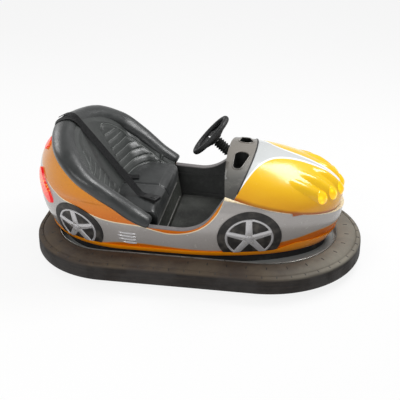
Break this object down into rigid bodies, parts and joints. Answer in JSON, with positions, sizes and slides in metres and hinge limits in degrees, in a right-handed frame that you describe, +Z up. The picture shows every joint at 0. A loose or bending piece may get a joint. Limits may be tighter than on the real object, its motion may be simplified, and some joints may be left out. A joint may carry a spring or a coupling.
{
  "type": "bumper car",
  "caption": "Two-seat fairground bumper car with a moulded body, padded seat roll, rubber bumper ring, steered front drive wheel and fixed rear wheels.",
  "frame": {"origin": "on the floor under the middle of the bumper ring", "axes": "+X forward, +Y to the car's left, +Z up"},
  "size_m": [1.95, 1.15, 0.8568],
  "materials": {
    "bumper_rubber": "matte grey-brown moulded rubber",
    "steel": "bare steel",
    "deck_paint": "grey-blue painted steel plate",
    "black_plastic": "matte black",
    "body_silver": "silver lacquer on moulded laminate, with an orange upper band",
    "body_orange": "glossy orange",
    "silver_trim": "silver lacquer",
    "bonnet_yellow": "glossy yellow with a silver middle band",
    "lamp_yellow": "clear yellow lens",
    "lamp_red": "clear red lens",
    "dash_grey": "grained dark grey",
    "liner_black": "grained black",
    "floor_speckle": "speckled grey",
    "seat_vinyl": "dark green-grey vinyl",
    "tyre_black": "matte black",
    "tyre": "black rubber",
    "cast": "machined casting",
    "chassis_paint": "black chassis paint",
    "battery_case": "black battery case",
    "motor_paint": "dark motor paint",
    "wheel_rubber": "soft black moulding",
    "webbing": "black woven webbing"
  },
  "bodies": {
    "chassis": {"bumper_tube": "bumper_rubber", "bumper_rim": "steel", "deck": "deck_paint", "body_plinth": "black_plastic", "body_shell": "body_silver", "sill_skirt": "body_orange", "belt_trim": "silver_trim", "sill_ledge": "silver_trim", "hood": "bonnet_yellow", "headlamps": "lamp_yellow", "dash_cowl": "dash_grey", "cockpit_liner": "liner_black", "cockpit_floor": "floor_speckle", "seat_base": "floor_speckle", "seat_tub": "seat_vinyl", "seat_cushion": "seat_vinyl", "seat_collar": "seat_vinyl", "tail_lamps_upper": "lamp_red", "tail_lamps_lower": "lamp_red", "wheel_trim_discs": "tyre_black", "wheel_trim_stars": "silver_trim", "rear_brackets": "chassis_paint", "rear_axles": "steel", "battery": "battery_case", "drive_bridge": "chassis_paint", "column_jacket": "chassis_paint", "steering_boot": "liner_black", "accelerator_pedal": "black_plastic", "harness_strap_outer": "webbing", "harness_strap_inner": "webbing", "harness_buckle": "steel"},
    "drive_unit": {"turret": "cast", "drive_fork": "chassis_paint", "drive_motor": "motor_paint"},
    "drive_wheel": {"drive_tyre": "tyre", "drive_hub": "cast"},
    "rear_wheel_left": {"rear_tyre_left": "tyre", "rear_hub_left": "cast"},
    "rear_wheel_right": {"rear_tyre_right": "tyre", "rear_hub_right": "cast"},
    "steering": {"steering_wheel": "wheel_rubber", "steering_shaft": "steel"}
  },
  "joints": [
    {"name": "drive_unit_swivel", "type": "hinge", "parent": "chassis", "child": "drive_unit", "pos_m": [0.52, 0, 0.1], "axis": [0, 0, -1], "continuous": true},
    {"name": "drive_wheel_spin", "type": "hinge", "parent": "drive_unit", "child": "drive_wheel", "pos_m": [0.52, 0, 0.11], "axis": [0, 1, 0], "continuous": true},
    {"name": "rear_wheel_left_spin", "type": "hinge", "parent": "chassis", "child": "rear_wheel_left", "pos_m": [-0.56, 0.28, 0.075], "axis": [0, 1, 0], "continuous": true},
    {"name": "rear_wheel_right_spin", "type": "hinge", "parent": "chassis", "child": "rear_wheel_right", "pos_m": [-0.56, -0.28, 0.075], "axis": [0, 1, 0], "continuous": true},
    {"name": "steering_wheel_turn", "type": "hinge", "parent": "chassis", "child": "steering", "pos_m": [0.064, 0, 0.7455], "axis": [0.7431, 0, -0.6691], "continuous": true}
  ],
  "couplings": [
    {"joint": "steering_wheel_turn", "follows": "drive_unit_swivel", "ratio": 1}
  ]
}
